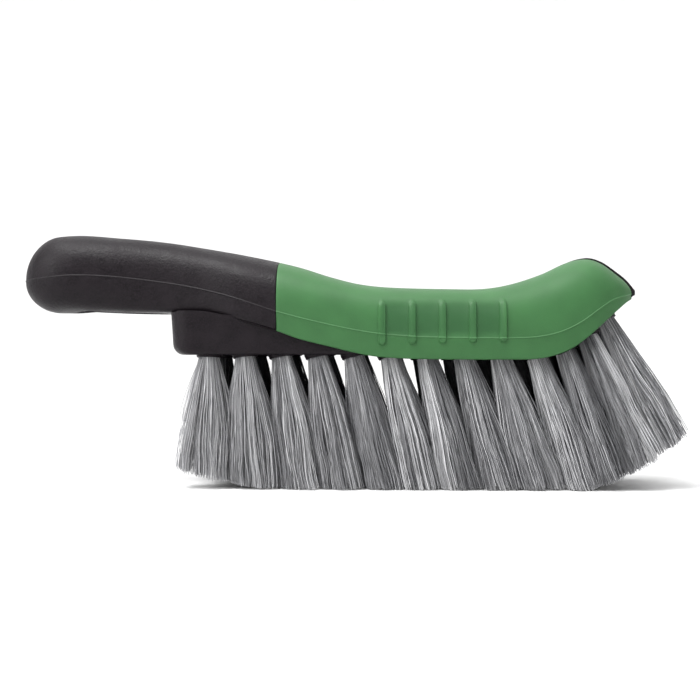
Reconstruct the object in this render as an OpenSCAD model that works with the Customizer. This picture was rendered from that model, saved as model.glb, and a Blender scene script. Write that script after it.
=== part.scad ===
// Hand wheel brush with a moulded black core, a green soft-grip sleeve over its head and staple-set tufts.
// Frame: +X towards the nose, +Z up, bristle tips on z = 0, origin under the middle of the length.
// Units are millimetres.

/* [Overall] */
// Height of the block's flat underside over the trimmed bristle tips
trim_length = 54.5; // [50:0.5:60]
// X of the handle's rounded end
handle_end_x = -139; // [-145:0.5:-133]
// X of the nose's tip
nose_tip_x = 118.2; // [117:0.1:119.5]

/* [Handle] */
// Half of the handle's width at its fat rounded end
handle_end_half_w = 16; // [14:0.5:18]
// Half of the handle's width at its narrow neck
handle_neck_half_w = 14.6; // [13:0.2:16]
// Length over which the handle's end rounds off
handle_end_round = 15; // [12:0.5:18]
// The same length seen from above
handle_plan_round = 24; // [16:0.5:28]
// Depth of the relief pocket in the handle's underside
pocket_depth = 3; // [2:0.5:5]
// Width of the relief pocket
pocket_w = 15; // [10:0.5:18]
// X of the pocket's rounded end
pocket_start_x = -117; // [-120:0.5:-105]

/* [Head] */
// Half of the head's width over the grip sleeve
head_half_w = 24; // [24:0.2:26]
// X where the black handle ends and the green sleeve starts
seam_x = -29.6; // [-31:0.2:-27]
// X where the head starts to round off towards the nose in plan
nose_start_x = 71.4; // [70:0.2:73]
// Half of the width of the block that holds the tufts
block_half_w = 20.8; // [20.6:0.1:21]
// X of the block's rear end at its top
block_end_x = -74.4; // [-76:0.2:-71]
// Radius of the block's upright rear corners
block_corner_r = 9; // [6:0.5:12]
// Radius of the block's lower rear edge
block_edge_r = 4.5; // [2:0.5:5]

/* [Grip sleeve] */
// Wall of the sleeve over the top of the head
sleeve_wall = 2.4; // [2:0.1:2.8]
// How far a finger rib stands out
rib_height = 0.9; // [0.5:0.1:1.2]
// Width of a finger rib
rib_w = 3.3; // [2.5:0.1:4]
// Distance between finger ribs
rib_pitch = 12.2; // [11:0.1:12.6]
// X of the rearmost finger rib
rib_first_x = 13.6; // [12:0.2:15]
// Half of the width of the black pad that shows through the nose
pad_half_w = 9; // [8:0.5:10]
// How far the pad stands over the sleeve at the nose's tip
pad_proud = 1; // [0.6:0.1:1.2]

/* [Tufts] */
// Radius of a tuft's blind hole
hole_r = 4.4; // [3.8:0.1:4.5]
// Depth of a tuft's hole under the block's surface
hole_depth = 11; // [9:0.5:12]
// Radius of the low round boss at each hole
boss_r = 5.2; // [5:0.1:5.3]
// Height of the boss under the head
boss_h = 1.2; // [0.6:0.1:1.6]
// Height of the three bosses round the nose
nose_boss_h = 0.3; // [0.2:0.1:0.6]
// Distance of the outer rows from the middle
row_offset = 14; // [13.6:0.1:14.4]
// Distance between tufts along the outer rows
outer_pitch = 15; // [14.6:0.1:15.2]
// X of the rearmost tuft in the outer rows
outer_first_x = -58.2; // [-59:0.2:-56]
// Distance between the six rear tufts of the middle row
middle_pitch = 14.4; // [14.2:0.1:15]
// Distance between the other tufts of the middle row
middle_front_pitch = 12.8; // [12.4:0.1:13]
// X of the rearmost tuft in the middle row
middle_first_x = -54.6; // [-55:0.2:-52]

/* [Hidden] */
outer_tufts = 13;
middle_tufts = 12;
middle_rear_tufts = 6;

$fn = 48;
gap = 0.05;
shade_black = [0.06, 0.06, 0.065];
shade_green = [0.27, 0.52, 0.3];
shade_silver = [0.62, 0.62, 0.64];
shade_dark = [0.16, 0.16, 0.17];
shade_steel = [0.7, 0.7, 0.68];

// Driving points of the side view, each [x, z]
top_line = [[-139, 103.2], [-117, 105.4], [-98, 104.2], [-79, 102.4], [-60, 99.4], [-41, 95.9],
    [-22, 91.6], [-8, 87.2], [4, 84.2], [17, 82.8], [42, 82.1], [56, 82.2], [67.5, 84.2],
    [80, 88.3], [90, 92.9], [98, 95], [104, 93.2], [110, 88.8], [114, 85.7], [118.2, 81.2]];
side_line = [[-139, 85.8], [-126, 86.9], [-114, 87.6], [-100, 87.1], [-84, 85.4], [-67, 82.8],
    [-50, 78.8], [-30, 72.4], [-14, 68.2], [5, 64.2], [21, 62.3], [41, 61.5], [69, 61.4],
    [77, 61.9], [86, 64], [94, 67.9], [102.7, 74], [108, 77.2], [118.2, 80.2]];
low_line = [[-139, 72.4], [-110, 72.2], [-80, 72], [-61, 72], [-52, 70.5], [-44, 68.3], [-30, 64.4],
    [-20, 60.9], [-8, 57.9], [5, 54.8], [13, 53.6], [29, 52.8], [70, 52.6], [78, 53.1],
    [84, 54.5], [90.6, 57.3], [97.4, 62.1], [104.6, 68.3], [112, 74.4], [118.2, 78.8]];
// Half width of the skin behind the nose, each [x, y]
plan_line = [[-139, handle_end_half_w - 0.2], [-120, handle_end_half_w], [-100, 15.1],
    [-80, handle_neck_half_w], [-62, 17], [-45, 21.6], [seam_x, head_half_w - 0.4],
    [-12, head_half_w], [nose_start_x, head_half_w]];
// Roundness of the section, each [x, exponent]
upper_round = [[-139, 2.3], [-80, 2.4], [-29, 2.8], [2, 3.3], [60, 3.3], [88, 2.8], [nose_tip_x, 2.6]];
lower_round = [[-139, 2.3], [-118, 2.6], [-100, 4], [-82, 7], [-72, 14], [-60, 16], [nose_tip_x, 8]];
// Roundness of the core's section inside the sleeve, over and under the side line
spine_upper_round = 2.8;
spine_lower_round = 8;
pad_lower_round = 6;
// Lean of the outer tufts towards the nose, each [place in the row, degrees]
lean_line = [[0, -1.5], [1, 5.5], [2, 9.5], [4, 13], [7, 14.8], [9, 17.5], [11, 20], [12, 25]];

// Places of the three tufts round the nose in the outer rows
nose_tuft_x = [88.8, 98, 105.7];
nose_tuft_y = [13.6, 12, 6.6];
nose_splay = [7, 9, 9];
row_splay = 6;
straight_tufts = 10;
tuft_clear = 0.1;
tuft_gap = 0.35;
tuft_sides = 18;
// Share of a tuft's free length where its middle ring lies
waist_at = 0.4;
tip_roundness = 2.5;
outer_tip_half_x = 10.4;
outer_tip_half_y = 8.6;
middle_tip_half_y = 9.9;
middle_tip_half_x = 7;
nose_tip_half_x = 6.8;
// The last middle tufts are narrower by this much
middle_tip_taper = 1;

anchor_w = 10;
anchor_t = 0.5;
anchor_h = 2;
anchor_depth = 8.2;

nose_power = 2.5;
draft = 0.8;
side_step = 0.35;
shoulder_h = 2;
shoulder_share = 0.4;
// How far the block stands below the sleeve's edge where it rises to the nose
under_proud = 0.5;
under_from_x = 75;
block_draft = 0.9;
// How far the core's tip and the block's tip lie behind the nose's
spine_back = 2.6;
block_back = 6.7;
// How far the block's top sinks into the body, each [x, depth]
block_sink = [[-73, 0], [-70, 0.6], [-52, 0.6], [-42, 2.5]];
seam_step = 0.3;

function mix(a, b, t) = a + (b - a) * t;
function step_up(x, a, b) = min(1, max(0, (x - a) / (b - a)));

// Smooth curve through driving points
function span(p, x, i = 0) = i >= len(p) - 2 || x < p[i + 1][0] ? i : span(p, x, i + 1);
function tangent(p, i) =
    let(a = max(i - 1, 0), b = min(i + 1, len(p) - 1)) (p[b][1] - p[a][1]) / (p[b][0] - p[a][0]);
function hermite(y0, y1, m0, m1, t) =
    y0 * (1 + 2 * t) * (1 - t) * (1 - t) + m0 * t * (1 - t) * (1 - t)
    + y1 * t * t * (3 - 2 * t) - m1 * t * t * (1 - t);
function along_curve(p, x) =
    let(i = span(p, x), w = p[i + 1][0] - p[i][0], t = (x - p[i][0]) / w)
    hermite(p[i][1], p[i + 1][1], tangent(p, i) * w, tangent(p, i + 1) * w, t);

// A quarter of a rounded nose in plan: 1 at u = 0, 0 at u = 1
function nose_taper(u) = pow(1 - pow(min(0.9999, max(0, u)), nose_power), 1 / nose_power);
function taper_from(x, back) = nose_taper((x - nose_start_x) / (nose_tip_x - back - nose_start_x));
// Roundness of the handle's end: 0 at the end, 1 once it is full
function end_taper(x, length) =
    let(u = (handle_end_x + length - x) / length) u <= 0 ? 1 : sqrt(max(0, 1 - u * u));

function skin_half_w(x) = x < nose_start_x ? along_curve(plan_line, x) : head_half_w * taper_from(x, 0);
function skin_side(x) = along_curve(side_line, x);
function skin_top(x) = along_curve(top_line, x);
function skin_low(x) = along_curve(low_line, x);
function wall_over(x) =
    let(s = (skin_top(x + 1) - skin_top(x - 1)) / 2) sleeve_wall * sqrt(1 + s * s);

// Width and top of the core inside the sleeve
function spine_half_w(x) = (block_half_w + side_step) * taper_from(x, spine_back);
function spine_top(x) = skin_top(x) - wall_over(x) - gap;
// How far the core's shoulder reaches below the side line
function shoulder(x) = min(shoulder_h, shoulder_share * (skin_side(x) - skin_low(x)));
function block_half(x) = block_half_w * taper_from(x, block_back);

// Sections in the YZ plane
function upper_point(a, side, top, n, t) =
    [a * sign(cos(t)) * pow(abs(cos(t)), 2 / n), side + (top - side) * pow(abs(sin(t)), 2 / n)];
function section(a, side, top, low, nu, nl, up_steps, low_steps) = concat(
    [for (i = [0:up_steps - 1]) upper_point(a, side, top, nu, 180 * i / up_steps)],
    [for (i = [0:low_steps - 1]) upper_point(a, side, low, nl, 180 - 180 * i / low_steps)]);
function at_x(x, ring) = [for (p = ring) [x, p[0], p[1]]];

// Closed solid through rings that all have the same number of points
module loft(rings) {
    n = len(rings[0]);
    count = len(rings);
    sides = [for (r = [0:count - 2], i = [0:n - 1])
        let(j = (i + 1) % n, a = r * n, b = a + n) each [[a + i, b + j, a + j], [a + i, b + i, b + j]]];
    front = [for (i = [1:n - 2]) [0, i, i + 1]];
    back = [for (i = [1:n - 2]) (count - 1) * n * [1, 1, 1] + [0, i + 1, i]];
    polyhedron(points = [for (r = rings) each r], faces = concat(sides, front, back), convexity = 8);
}

up_steps = 16;
low_steps = 12;
function handle_ring(x) =
    let(e = end_taper(x, handle_end_round), s = skin_side(x))
    at_x(x, section(
        skin_half_w(x) * end_taper(x, handle_plan_round), s, mix(s, skin_top(x), e), mix(s, skin_low(x), e),
        along_curve(upper_round, x), along_curve(lower_round, x), up_steps, low_steps));
function spine_ring(x) =
    let(s = skin_side(x))
    at_x(x, section(spine_half_w(x), s, spine_top(x), s - shoulder(x),
        spine_upper_round, spine_lower_round, up_steps, low_steps));
end_angles = [6, 18, 31, 45, 60, 75];
end_stations = [for (t = end_angles) handle_end_x + handle_end_round * (1 - cos(t))];
handle_stations = [for (i = [0:16]) mix(handle_end_x + handle_end_round, seam_x, i / 16)];
spine_stations = concat([for (i = [0:12]) mix(seam_x, nose_start_x, i / 12)],
    [for (t = [12:11:78]) nose_start_x + (nose_tip_x - spine_back - nose_start_x) * sin(t)]);

module body_loft() {
    loft(concat(
        [for (x = concat(end_stations, handle_stations)) handle_ring(x)],
        [for (x = spine_stations) spine_ring(x)]));
}

// Block under the body: its side view cut by its plan
function block_low(x) = x < under_from_x ? trim_length : max(trim_length, skin_low(x) - under_proud);
function block_top(x) = x < seam_x
    ? skin_low(x) + lookup(x, block_sink)
    : skin_side(x) - shoulder(x) / 2;
profile_nose = [for (i = [0:14]) mix(under_from_x, nose_tip_x - block_back, i / 14)];
edge_arc = [for (t = [0:15:90])
    [block_end_x + block_draft + block_edge_r * (1 - sin(t)), trim_length + block_edge_r * (1 - cos(t))]];
profile = concat(
    edge_arc,
    [[block_end_x, skin_low(block_end_x)]],
    [for (i = [1:7]) let(x = mix(block_end_x, seam_x - seam_step, i / 7)) [x, block_top(x)]],
    [for (i = [0:10]) let(x = mix(seam_x + seam_step, under_from_x - 8, i / 10)) [x, block_top(x)]],
    [for (x = profile_nose) [x, block_top(x)]],
    [for (i = [len(profile_nose) - 1:-1:0]) [profile_nose[i], block_low(profile_nose[i])]]);
nose_plan = [for (t = [0:6:84])
    let(x = nose_start_x + (nose_tip_x - block_back - nose_start_x) * sin(t)) [x, block_half(x)]];
corner_plan = [for (t = [0:15:90])
    [block_end_x + block_corner_r * (1 - cos(t)), block_half_w - block_corner_r * (1 - sin(t))]];
half_plan = concat(corner_plan, nose_plan);
plan = concat(half_plan, [for (i = [len(half_plan) - 1:-1:0]) [half_plan[i][0], -half_plan[i][1]]]);

block_reach = 40;
module block() {
    intersection() {
        rotate([90, 0, 0])
            linear_extrude(height = 2 * head_half_w, center = true)
                polygon(profile);
        translate([0, 0, trim_length - 1])
            linear_extrude(height = block_reach)
                polygon(plan);
    }
}

// Tongue outline of the pad that shows through the sleeve over the nose
pad_rear_x = 100.4;
pad_rear_stretch = 1.04;
tongue_low = 60;
tongue_high = 110;
module tongue(w) {
    round_end = [for (t = [90:15:270]) [pad_rear_x + pad_rear_stretch * w * cos(t), w * sin(t)]];
    ahead = nose_tip_x + 2 * pad_proud;
    translate([0, 0, tongue_low])
        linear_extrude(height = tongue_high - tongue_low)
            polygon(concat(round_end, [[ahead, -w], [ahead, w]]));
}

// How far the pad stands over the skin's top: at its rear, and over its front slope
pad_rear_proud = 0.05;
pad_top_proud = 0.9;
pad_rise_x = [97, 109];
pad_low_rise = 0.6;
pad_stations = concat([84, 87.5, 91],
    [for (t = [30:7:79]) nose_start_x + (nose_tip_x + pad_proud - nose_start_x) * sin(t)]);
function pad_ring(x) =
    let(at = min(x, nose_tip_x),
        s = skin_side(at),
        top = skin_top(at) + mix(pad_rear_proud, pad_top_proud, step_up(x, pad_rise_x[0], pad_rise_x[1])),
        low = min(s - 0.1, skin_low(at) + pad_low_rise))
    at_x(x, section((head_half_w + pad_proud) * taper_from(x, -pad_proud), s, top, low,
        spine_upper_round, pad_lower_round, up_steps, low_steps));
module nose_pad() {
    intersection() {
        loft([for (x = pad_stations) pad_ring(x)]);
        tongue(pad_half_w - gap);
    }
}

// Tuft places: rows are -1 near, 0 middle, 1 far
function middle_x(i) =
    let(rear = min(i, middle_rear_tufts - 1))
    middle_first_x + middle_pitch * rear + middle_front_pitch * (i - rear);
function tuft_x(row, i) = row == 0 ? middle_x(i)
    : i < straight_tufts ? outer_first_x + outer_pitch * i : nose_tuft_x[i - straight_tufts];
function tuft_y(row, i) = row == 0 ? 0
    : row * (i < straight_tufts ? row_offset : nose_tuft_y[i - straight_tufts]);
function tuft_splay(row, i) = row == 0 ? 0
    : row * (i < straight_tufts ? row_splay : nose_splay[i - straight_tufts]);
function tuft_lean(row, i) =
    along_curve(lean_line, row == 0 ? (middle_x(i) - outer_first_x) / outer_pitch : i);
function boss_rise(row, i) = row == 0 || i < straight_tufts ? boss_h : nose_boss_h;
function tuft_root(row, i) = [tuft_x(row, i), tuft_y(row, i), block_low(tuft_x(row, i))];
function tuft_axis(row, i) =
    let(v = [tan(tuft_lean(row, i)), tan(tuft_splay(row, i)), -1]) v / norm(v);

// Height of the trimmed tips over the floor: flat under the head, rising at both ends
flat_from_x = -24;
flat_to_x = 98;
rear_curve = 0.0036;
front_slope = 0.36;
front_curve = 0.005;
function trim_z(x) = x < flat_from_x ? rear_curve * pow(flat_from_x - x, 2)
    : x > flat_to_x ? front_slope * (x - flat_to_x) + front_curve * pow(x - flat_to_x, 2) : 0;
function tip_at(row, i, z) =
    let(p = tuft_root(row, i), v = tuft_axis(row, i)) p + v * ((p[2] - z) / -v[2]);
function tip_middle(row, i) =
    let(a = tip_at(row, i, 0), b = tip_at(row, i, trim_z(a[0])), c = tip_at(row, i, trim_z(b[0]))) c;
function tip_room(row, i, k) = norm(tip_middle(row, i) - tip_middle(row, k)) / 2 - tuft_gap;
function tufts_in(row) = row == 0 ? middle_tufts : outer_tufts;
function tip_half_x(row, i) = min(
    row == 0 ? middle_tip_half_x : i == outer_tufts - 1 ? nose_tip_half_x : outer_tip_half_x,
    i == 0 ? outer_tip_half_x : tip_room(row, i, i - 1),
    i == tufts_in(row) - 1 ? outer_tip_half_x : tip_room(row, i, i + 1));
function tip_half_y(row, i) = row == 0
    ? middle_tip_half_y - middle_tip_taper * step_up(i, middle_tufts - 3, middle_tufts)
    : outer_tip_half_y;

function side_of(v) = let(c = cross([0, 1, 0], -v)) c / norm(c);
function round_ring(p, v, r) =
    let(a = side_of(v), b = cross(-v, a))
    [for (i = [0:tuft_sides - 1]) let(t = 360 * i / tuft_sides) p + a * r * cos(t) + b * r * sin(t)];
function tip_ring(c, rx, ry) = [for (i = [0:tuft_sides - 1])
    let(t = 360 * i / tuft_sides,
        x = c[0] + rx * sign(cos(t)) * pow(abs(cos(t)), 2 / tip_roundness),
        y = c[1] + ry * sign(sin(t)) * pow(abs(sin(t)), 2 / tip_roundness)) [x, y, trim_z(x)]];
// Sets children down at p with their -Z along v
module set_along(p, v) {
    a = side_of(v);
    b = cross(-v, a);
    multmatrix([[a[0], b[0], -v[0], p[0]], [a[1], b[1], -v[1], p[1]], [a[2], b[2], -v[2], p[2]]])
        children();
}

module tuft(row, i) {
    p = tuft_root(row, i);
    v = tuft_axis(row, i);
    r = hole_r - tuft_clear;
    mouth = round_ring(p + v * boss_rise(row, i), v, r);
    tip = tip_ring(tip_middle(row, i), tip_half_x(row, i), tip_half_y(row, i));
    waist = [for (k = [0:tuft_sides - 1]) mix(mouth[k], tip[k], waist_at)];
    color(row == 0 ? shade_dark : shade_silver)
        difference() {
            loft([tip, waist, mouth, round_ring(p - v * (hole_depth - tuft_clear), v, r)]);
            set_along(p - v * anchor_depth, v)
                cube([anchor_t + 2 * gap, 3 * hole_r, anchor_h + 2 * gap], center = true);
        }
}

// Flat wire anchors, one driven into each hole across the fold of its tuft
module anchors(row) {
    color(shade_steel)
        for (i = [0:tufts_in(row) - 1])
            set_along(tuft_root(row, i) - tuft_axis(row, i) * anchor_depth, tuft_axis(row, i))
                cube([anchor_t, anchor_w, anchor_h], center = true);
}

// Sets children down at each tuft's place, with the height of its boss in $rise
module every_tuft_place() {
    for (row = [-1:1])
        for (i = [0:tufts_in(row) - 1])
            set_along(tuft_root(row, i), tuft_axis(row, i)) {
                $rise = boss_rise(row, i);
                children();
            }
}

boss_root = 3;
module brush_core() {
    color(shade_black)
        difference() {
            union() {
                body_loft();
                block();
                nose_pad();
                every_tuft_place()
                    translate([0, 0, -$rise])
                        cylinder(r = boss_r, h = $rise + boss_root);
            }
            every_tuft_place()
                translate([0, 0, -boss_h - 1])
                    cylinder(r = hole_r, h = hole_depth + boss_h + 1);
            relief_pocket();
        }
}

pocket_end_x = block_end_x - 4;
module relief_pocket() {
    below = 5;
    translate([0, 0, skin_low(pocket_end_x) - below])
        linear_extrude(height = pocket_depth + below)
            union() {
                for (x = [pocket_start_x + pocket_w / 2, pocket_end_x - pocket_w / 2])
                    translate([x, 0])
                        circle(r = pocket_w / 2);
                translate([pocket_start_x + pocket_w / 2, -pocket_w / 2])
                    square([pocket_end_x - pocket_start_x - pocket_w, pocket_w]);
            }
}

// Sleeve: an outer and an inner skin, each an arch from one lower edge over the top to the other
arch_steps = 20;
side_steps = 3;
rib_edge = 0.5;
ribs = 5;
rib_low_share = 0.35;
rib_top_angle = 40;
rib_fade_angle = 10;
function rib_x(k) = rib_first_x + rib_pitch * k;
rib_flanks = [-rib_w / 2 - rib_edge, -rib_w / 2, rib_w / 2, rib_w / 2 + rib_edge];
rib_stations = [for (k = [0:ribs - 1], e = rib_flanks) rib_x(k) + e];
outer_stations = concat([seam_x + gap, -22, -14, -6, 3], rib_stations,
    [for (t = [0:8:80]) nose_start_x + (nose_tip_x - nose_start_x) * sin(t)]);
function on_rib(x) = max([for (k = [0:ribs - 1]) abs(x - rib_x(k)) <= rib_w / 2 + 0.001 ? 1 : 0]);
// Height of a rib over the skin at angle t round the arch, 0 to 90 from the side to the top
function rib_at(x, t) =
    on_rib(x) * rib_height * (1 - step_up(t, rib_top_angle - rib_fade_angle, rib_top_angle));
function outer_arch(x) =
    let(a = skin_half_w(x), s = skin_side(x), low = skin_low(x), top = skin_top(x),
        n = along_curve(upper_round, x),
        side = [for (i = [0:side_steps - 1]) let(u = i / side_steps)
            [a - draft * (1 - u) + (u > rib_low_share ? rib_at(x, 0) : 0), mix(low, s, u)]],
        arch = [for (i = [0:arch_steps]) let(t = 180 * i / arch_steps, q = upper_point(a, s, top, n, t),
            f = rib_at(x, min(t, 180 - t))) [q[0] + f * cos(t), q[1] + f * sin(t)]])
    at_x(x, concat(side, arch, [for (i = [side_steps - 1:-1:0]) [-side[i][0], side[i][1]]]));
function inner_x(x) =
    let(rear = seam_x + gap, shrink = (nose_tip_x - spine_back + gap - seam_x) / (nose_tip_x - seam_x))
    rear + (x - rear) * shrink;
// The step in the inner skin under the core's shoulder, as shares of the shoulder's height
step_low = 1.2;
step_high = 1.05;
function inner_arch(x) =
    let(xi = inner_x(x), s = skin_side(xi), low = skin_low(xi), top = spine_top(xi) + gap,
        b = (block_half_w + gap) * taper_from(xi, block_back - gap),
        w = max(b + 0.02, (block_half_w + side_step + gap) * taper_from(xi, spine_back - gap)),
        h = shoulder(xi),
        side = [[b, low], [b, s - step_low * h - gap], [w, s - step_high * h - gap]],
        arch = [for (i = [0:arch_steps]) upper_point(w, s, top, spine_upper_round, 180 * i / arch_steps)])
    at_x(xi, concat(side, arch, [for (i = [side_steps - 1:-1:0]) [-side[i][0], side[i][1]]]));

module sleeve_shell() {
    n = arch_steps + 1 + 2 * side_steps;
    c = len(outer_stations);
    m = c * n;
    last = (c - 1) * n;
    points = concat(
        [for (x = outer_stations) each outer_arch(x)],
        [for (x = outer_stations) each inner_arch(x)]);
    outer = [for (r = [0:c - 2], i = [0:n - 2]) let(a = r * n + i, b = a + n)
        each [[a, b + 1, a + 1], [a, b, b + 1]]];
    inner = [for (f = outer) [f[2] + m, f[1] + m, f[0] + m]];
    cap = [for (i = [1:n - 2]) [last, last + i + 1, last + i]];
    inner_cap = [for (f = cap) [f[2] + m, f[1] + m, f[0] + m]];
    rear = [for (i = [0:n - 2]) each [[i, i + 1, i + m], [i + 1, i + 1 + m, i + m]]];
    edges = [for (r = [0:c - 2]) let(a = r * n, b = a + n, p = a + n - 1, q = p + n)
        each [[a, b + m, b], [a, a + m, b + m], [q, p + m, p], [q, q + m, p + m]]];
    lip = [[last, last + n - 1 + m, last + n - 1], [last, last + m, last + n - 1 + m]];
    polyhedron(
        points = points,
        faces = concat(outer, inner, cap, inner_cap, rear, edges, lip),
        convexity = 8);
}

module grip_sleeve() {
    color(shade_green)
        difference() {
            sleeve_shell();
            tongue(pad_half_w + gap);
        }
}

function tuft_name(row, i) = str("tuft_", row, "_", i < 10 ? "0" : "", i);

brush_core();
grip_sleeve();
for (i = [1:outer_tufts])
    tuft(-1, i - 1);
for (i = [1:middle_tufts])
    tuft(0, i - 1);
for (i = [1:outer_tufts])
    tuft(1, i - 1);
anchors(-1);  // anchors_near
anchors(0);  // anchors_middle
anchors(1);  // anchors_far
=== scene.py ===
import math

import bmesh
import bpy
import numpy as np
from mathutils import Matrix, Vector


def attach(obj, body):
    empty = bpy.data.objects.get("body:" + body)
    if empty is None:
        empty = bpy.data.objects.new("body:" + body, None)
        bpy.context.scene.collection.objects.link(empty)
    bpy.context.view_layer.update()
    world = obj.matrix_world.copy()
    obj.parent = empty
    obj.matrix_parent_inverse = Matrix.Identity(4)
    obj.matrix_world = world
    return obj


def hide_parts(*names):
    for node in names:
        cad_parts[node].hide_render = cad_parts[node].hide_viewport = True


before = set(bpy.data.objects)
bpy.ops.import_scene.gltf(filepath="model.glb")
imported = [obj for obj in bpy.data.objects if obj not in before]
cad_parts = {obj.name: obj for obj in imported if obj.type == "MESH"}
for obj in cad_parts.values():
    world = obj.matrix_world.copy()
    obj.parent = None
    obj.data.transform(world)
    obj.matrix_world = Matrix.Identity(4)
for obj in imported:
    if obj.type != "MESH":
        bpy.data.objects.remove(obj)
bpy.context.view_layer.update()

# Hand wheel brush. Shapes are worked out in millimetres in the CAD frame and built in metres.
MM = 0.001

# Driving dimensions of the CAD design
TRIM_LENGTH = 54.5
HANDLE_END_X = -139.0
HANDLE_END_ROUND = 15.0
HANDLE_PLAN_ROUND = 24.0
HANDLE_END_HALF_W = 16.0
HANDLE_NECK_HALF_W = 14.6
NOSE_TIP_X = 118.2
NOSE_START_X = 71.4
NOSE_POWER = 2.5
HEAD_HALF_W = 24.0
SEAM_X = -29.6
BLOCK_HALF_W = 20.8
BLOCK_END_X = -74.4
BLOCK_CORNER_R = 9.0
BLOCK_EDGE_R = 4.5
BLOCK_DRAFT = 0.9
# How far the block's top sinks into the body, each (x, depth)
BLOCK_SINK = ((-73, 0.0), (-70, 0.6), (-52, 0.6), (-42, 2.5))
BLOCK_BACK = 6.7
POCKET_START_X = -117.0
POCKET_END_X = BLOCK_END_X - 4.0
POCKET_W = 15.0
POCKET_DEPTH = 3.0
SLEEVE_WALL = 2.4
SPINE_BACK = 2.6
SHOULDER_H = 2.0
SIDE_STEP = 0.35
UNDER_PROUD = 0.5
UNDER_FROM_X = 75.0
DRAFT = 0.8
GAP = 0.05
PAD_HALF_W = 9.0
PAD_REAR_X = 100.4
PAD_REAR_STRETCH = 1.04
PAD_PROUD = 1.0
PAD_TOP_PROUD = 0.9
PAD_RISE_X = (97, 109)
PAD_REAR_PROUD = 0.05
PAD_LOW_RISE = 0.6
RIB_W = 3.3
RIB_HEIGHT = 0.9
RIB_PITCH = 12.2
RIB_FIRST_X = 13.6
RIBS = 5
HOLE_R = 4.4
HOLE_DEPTH = 11.0
BOSS_R = 5.2
BOSS_H = 1.2
NOSE_BOSS_H = 0.3
ROW_OFFSET = 14.0
OUTER_PITCH = 15.0
OUTER_FIRST_X = -58.2
MIDDLE_PITCH = 14.4
MIDDLE_FIRST_X = -54.6
MIDDLE_FRONT_PITCH = 12.8
MIDDLE_REAR_TUFTS = 6
OUTER_TUFTS = 13
MIDDLE_TUFTS = 12
STRAIGHT_TUFTS = 10
NOSE_TUFT_X = (88.8, 98.0, 105.7)
NOSE_TUFT_Y = (13.6, 12.0, 6.6)
NOSE_SPLAY = (7.0, 9.0, 9.0)
ROW_SPLAY = 6.0
TUFT_GAP = 0.35
OUTER_TIP_HALF_X = 10.4
OUTER_TIP_HALF_Y = 8.6
MIDDLE_TIP_HALF_Y = 9.9
MIDDLE_TIP_HALF_X = 7.0
NOSE_TIP_HALF_X = 6.8
MIDDLE_TIP_TAPER = 1
FLAT_FROM_X = -24.0
FLAT_TO_X = 98.0
REAR_CURVE = 0.0036
FRONT_SLOPE = 0.36
FRONT_CURVE = 0.005

# Driving points of the side view, each (x, z)
TOP_LINE = (
    (-139, 103.2), (-117, 105.4), (-98, 104.2), (-79, 102.4), (-60, 99.4), (-41, 95.9),
    (-22, 91.6), (-8, 87.2), (4, 84.2), (17, 82.8), (42, 82.1), (56, 82.2), (67.5, 84.2),
    (80, 88.3), (90, 92.9), (98, 95), (104, 93.2), (110, 88.8), (114, 85.7), (118.2, 81.2))
SIDE_LINE = (
    (-139, 85.8), (-126, 86.9), (-114, 87.6), (-100, 87.1), (-84, 85.4), (-67, 82.8),
    (-50, 78.8), (-30, 72.4), (-14, 68.2), (5, 64.2), (21, 62.3), (41, 61.5), (69, 61.4),
    (77, 61.9), (86, 64), (94, 67.9), (102.7, 74), (108, 77.2), (118.2, 80.2))
LOW_LINE = (
    (-139, 72.4), (-110, 72.2), (-80, 72), (-61, 72), (-52, 70.5), (-44, 68.3), (-30, 64.4),
    (-20, 60.9), (-8, 57.9), (5, 54.8), (13, 53.6), (29, 52.8), (70, 52.6), (78, 53.1),
    (84, 54.5), (90.6, 57.3), (97.4, 62.1), (104.6, 68.3), (112, 74.4), (118.2, 78.8))
# Half width of the skin behind the nose, each (x, y)
PLAN_LINE = (
    (-139, HANDLE_END_HALF_W - 0.2), (-120, HANDLE_END_HALF_W), (-100, 15.1),
    (-80, HANDLE_NECK_HALF_W), (-62, 17), (-45, 21.6), (SEAM_X, HEAD_HALF_W - 0.4),
    (-12, HEAD_HALF_W), (NOSE_START_X, HEAD_HALF_W))
# Roundness of the section, each (x, exponent)
UPPER_ROUND = (
    (-139, 2.3), (-80, 2.4), (-29, 2.8), (2, 3.3), (60, 3.3), (88, 2.8), (NOSE_TIP_X, 2.6))
LOWER_ROUND = ((-139, 2.3), (-118, 2.6), (-100, 4), (-82, 7), (-72, 14), (-60, 16), (NOSE_TIP_X, 8))
SPINE_ROUND = (2.8, 8.0)
# Lean of the outer tufts towards the nose, each (place in the row, degrees)
LEAN_LINE = ((0, -1.5), (1, 5.5), (2, 9.5), (4, 13), (7, 14.8), (9, 17.5), (11, 20), (12, 25))
SHOULDER_SHARE = 0.4

# Fine shape that only the visual model has
RIDGE_H = 0.2
RIDGE_W = 0.32
RIDGE_ROWS = (0.0, 0.11, 0.22, 0.34, 0.55, 0.9)
SEAM_R = 0.4
LIP_R = 0.5
SECTION_STEPS = 360


def mix(a, b, t):
    return a + (b - a) * t


def step_up(x, a, b):
    return min(1.0, max(0.0, (x - a) / (b - a)))


def smooth_step(x, a, b):
    t = np.clip((np.asarray(x, float) - a) / (b - a), 0.0, 1.0)
    return t * t * (3 - 2 * t)


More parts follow.
